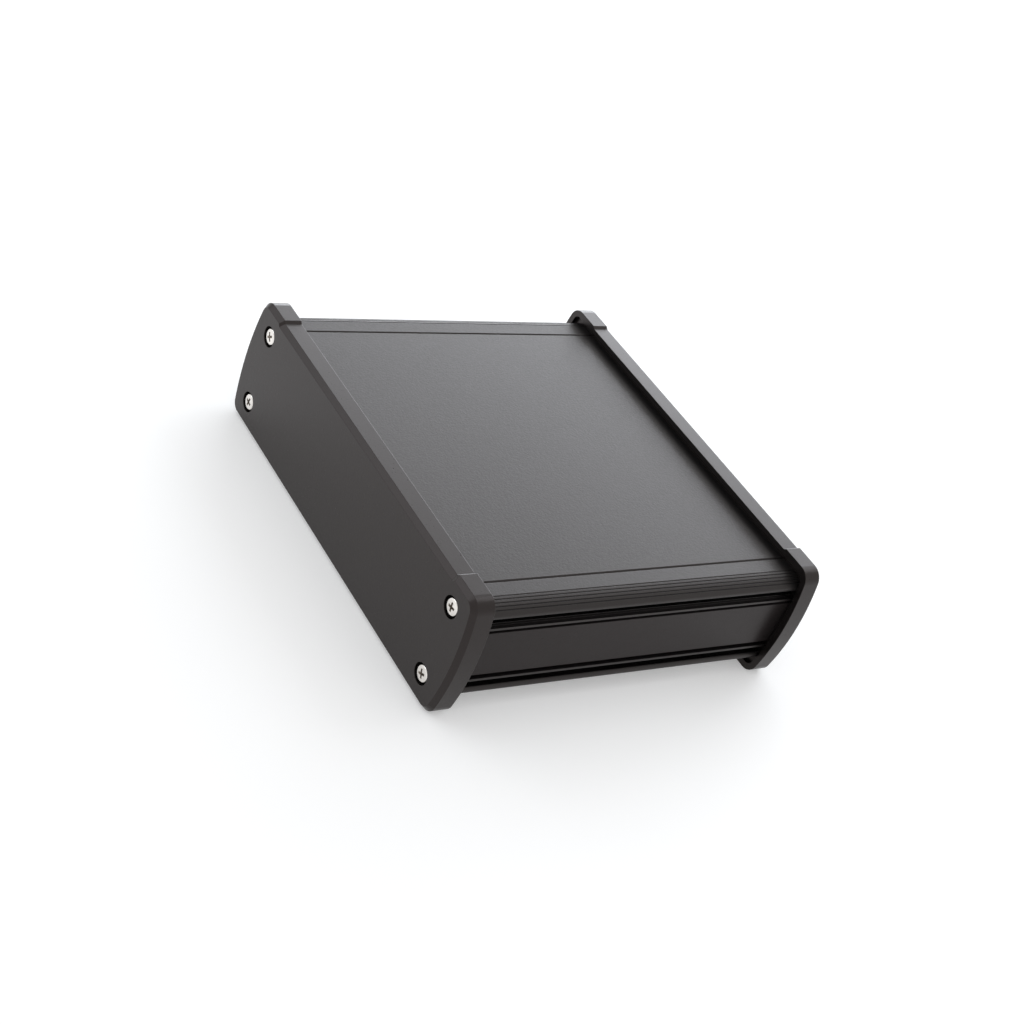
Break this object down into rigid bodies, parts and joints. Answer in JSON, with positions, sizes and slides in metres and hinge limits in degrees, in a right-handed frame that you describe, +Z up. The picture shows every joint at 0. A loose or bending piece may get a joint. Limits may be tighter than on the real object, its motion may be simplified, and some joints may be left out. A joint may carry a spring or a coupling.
{
  "type": "aluminium instrument enclosure",
  "caption": "Flat black extruded aluminium enclosure with thick bowed end caps, grooved rounded edges, side panels held in slots and sunk cross-recess screws.",
  "frame": {"origin": "centre of the bottom of the bounding box, on the surface that the case rests on", "axes": "+X along the extrusions from the left end cap to the right one, +Y from front to rear, +Z up"},
  "size_m": [0.14, 0.158, 0.0454],
  "materials": {
    "cover_aluminium": "satin black anodised extrusion",
    "panel_aluminium": "satin black anodised plate",
    "cap_aluminium": "satin black anodised, milled",
    "screw_steel": "bright plated steel"
  },
  "bodies": {
    "root": {"top_cover": "cover_aluminium", "bottom_cover": "cover_aluminium", "front_panel": "panel_aluminium", "rear_panel": "panel_aluminium", "left_end_cap": "cap_aluminium", "right_end_cap": "cap_aluminium", "left_front_lower_screw": "screw_steel", "left_front_upper_screw": "screw_steel", "left_rear_lower_screw": "screw_steel", "left_rear_upper_screw": "screw_steel", "right_front_lower_screw": "screw_steel", "right_front_upper_screw": "screw_steel", "right_rear_lower_screw": "screw_steel", "right_rear_upper_screw": "screw_steel"}
  },
  "joints": []
}
